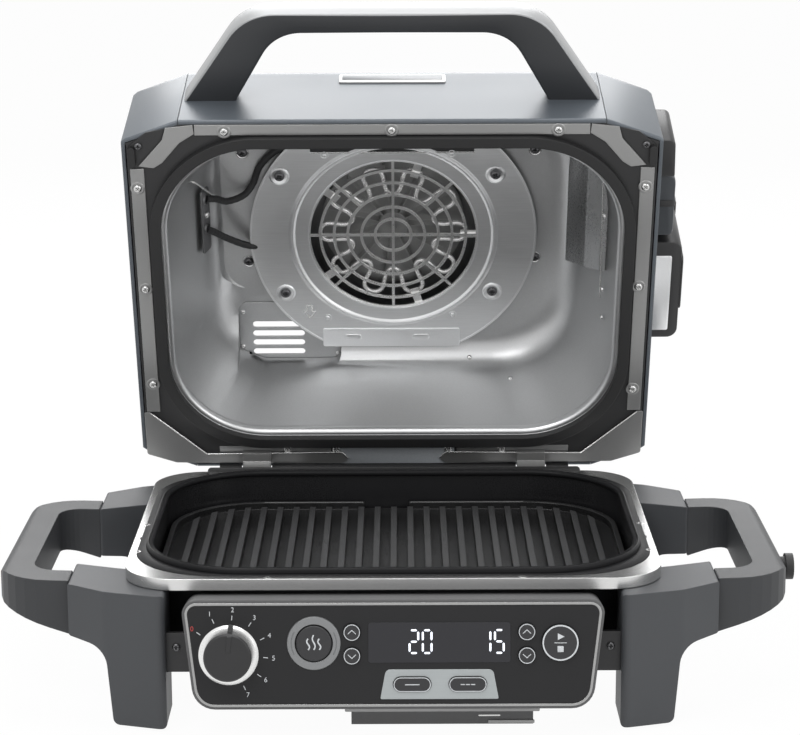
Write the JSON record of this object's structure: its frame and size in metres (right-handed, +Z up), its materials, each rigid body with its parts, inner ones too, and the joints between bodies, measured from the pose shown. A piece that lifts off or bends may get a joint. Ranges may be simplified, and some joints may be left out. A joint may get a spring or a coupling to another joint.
{
  "type": "electric grill and smoker",
  "caption": "Countertop electric grill and smoker with a deep hinged convection lid, ribbed grill plate, sloping control panel, side handles and slide-out trays.",
  "frame": {"origin": "on the table, at the middle of the open object's outline seen from above", "axes": "+X to the right of the person who stands at the control panel, +Y away from them, +Z up"},
  "size_m": [0.601, 0.5659, 0.5109],
  "materials": {
    "black_steel": "satin black enamel",
    "cast_plate": "matt black non-stick coating on cast aluminium",
    "flange_steel": "brushed stainless steel",
    "lid_paint": "satin slate-grey paint",
    "dark_plastic": "finely textured dark grey plastic",
    "panel_plastic": "smooth near-black plastic",
    "bright_trim": "bright chrome",
    "liner_metal": "satin aluminium sheet",
    "strip_steel": "bright steel sheet",
    "seal_rubber": "black silicone rubber",
    "element_steel": "heat-tinted steel tube",
    "button_grey": "grey plastic",
    "bracket_steel": "black steel"
  },
  "bodies": {
    "base": {"base_pot": "black_steel", "inner_tub": "black_steel", "rim_flange": "flange_steel", "control_housing": "panel_plastic", "panel_face": "panel_plastic", "panel_bezel": "bright_trim", "display_window": "panel_plastic", "smoke_button_ring": "bright_trim", "probe_button_plate": "bright_trim", "front_left_leg": "dark_plastic", "front_right_leg": "dark_plastic", "rear_left_leg": "dark_plastic", "rear_right_leg": "dark_plastic", "leg_brackets": "bracket_steel", "foot_pads": "seal_rubber", "left_grip": "dark_plastic", "right_grip": "dark_plastic", "hinge_brackets": "bracket_steel", "hinge_pins": "strip_steel", "tray_hangers": "bracket_steel", "grease_rails": "bracket_steel", "cord_inlet": "dark_plastic"},
    "lid": {"lid_shell": "lid_paint", "left_cap": "lid_paint", "right_cap": "lid_paint", "lid_liner": "liner_metal", "rim_plate": "bracket_steel", "rim_strips": "strip_steel", "corner_plates": "bracket_steel", "corner_bumpers": "seal_rubber", "gasket": "seal_rubber", "hinge_leaves": "bracket_steel", "fan_guard": "liner_metal", "guard_grille": "liner_metal", "guard_fixings": "strip_steel", "heating_element": "element_steel", "fan_motor": "bracket_steel", "smoke_duct": "liner_metal", "vent_cover": "liner_metal", "exhaust_frame": "dark_plastic", "lid_handle": "dark_plastic", "smoke_box": "dark_plastic", "smoke_elbow": "lid_paint", "smoke_guard": "dark_plastic"},
    "fan": {"fan_wheel": "liner_metal"},
    "smoke_flap": {"smoke_flap": "dark_plastic"},
    "dial": {"dial_knob": "dark_plastic", "dial_ring": "bright_trim"},
    "plate": {"grill_plate": "cast_plate"},
    "grease_tray": {"grease_tray": "black_steel"},
    "probe_tray": {"probe_tray": "black_steel"},
    "socket_plug": {"socket_plug": "seal_rubber"},
    "smoke_button": {"smoke_button": "button_grey"},
    "temp_up_button": {"temp_up_button": "button_grey"},
    "temp_down_button": {"temp_down_button": "button_grey"},
    "time_up_button": {"time_up_button": "button_grey"},
    "time_down_button": {"time_down_button": "button_grey"},
    "start_button": {"start_button": "button_grey"},
    "manual_button": {"manual_button": "button_grey"},
    "preset_button": {"preset_button": "button_grey"}
  },
  "joints": [
    {"name": "lid_hinge", "type": "hinge", "parent": "base", "child": "lid", "pos_m": [0, 0.093, 0.1], "axis": [-1, 0, 0], "range_deg": [-70, 0]},
    {"name": "fan_spin", "type": "hinge", "parent": "lid", "child": "fan", "pos_m": [0, 0.16641, 0.30763], "axis": [0, 0.9397, 0.342], "continuous": true},
    {"name": "smoke_flap_hinge", "type": "hinge", "parent": "lid", "child": "smoke_flap", "pos_m": [0.219, 0.14295, 0.29111], "axis": [0, -0.342, 0.9397], "range_deg": [0, 75]},
    {"name": "dial_turn", "type": "hinge", "parent": "base", "child": "dial", "pos_m": [-0.118, -0.26291, 0.06799], "axis": [0, -0.9848, 0.1736], "range_deg": [-150, 60]},
    {"name": "plate_lift", "type": "slide", "parent": "base", "child": "plate", "axis": [0, 0, 1], "range_m": [0, 0.06]},
    {"name": "grease_tray_slide", "type": "slide", "parent": "base", "child": "grease_tray", "axis": [0, 1, 0], "range_m": [0, 0.06]},
    {"name": "probe_tray_slide", "type": "slide", "parent": "base", "child": "probe_tray", "axis": [0, -1, 0], "range_m": [0, 0.055]},
    {"name": "socket_plug_pull", "type": "slide", "parent": "base", "child": "socket_plug", "axis": [1, 0, 0], "range_m": [0, 0.018]},
    {"name": "smoke_button_press", "type": "slide", "parent": "base", "child": "smoke_button", "axis": [0, 0.9848, -0.1736], "range_m": [0, 0.0012], "stiffness_N_per_m": 400},
    {"name": "temp_up_button_press", "type": "slide", "parent": "base", "child": "temp_up_button", "axis": [0, 0.9848, -0.1736], "range_m": [0, 0.0012], "stiffness_N_per_m": 400},
    {"name": "temp_down_button_press", "type": "slide", "parent": "base", "child": "temp_down_button", "axis": [0, 0.9848, -0.1736], "range_m": [0, 0.0012], "stiffness_N_per_m": 400},
    {"name": "time_up_button_press", "type": "slide", "parent": "base", "child": "time_up_button", "axis": [0, 0.9848, -0.1736], "range_m": [0, 0.0012], "stiffness_N_per_m": 400},
    {"name": "time_down_button_press", "type": "slide", "parent": "base", "child": "time_down_button", "axis": [0, 0.9848, -0.1736], "range_m": [0, 0.0012], "stiffness_N_per_m": 400},
    {"name": "start_button_press", "type": "slide", "parent": "base", "child": "start_button", "axis": [0, 0.9848, -0.1736], "range_m": [0, 0.0012], "stiffness_N_per_m": 400},
    {"name": "manual_button_press", "type": "slide", "parent": "base", "child": "manual_button", "axis": [0, 0.9848, -0.1736], "range_m": [0, 0.0012], "stiffness_N_per_m": 400},
    {"name": "preset_button_press", "type": "slide", "parent": "base", "child": "preset_button", "axis": [0, 0.9848, -0.1736], "range_m": [0, 0.0012], "stiffness_N_per_m": 400}
  ]
}
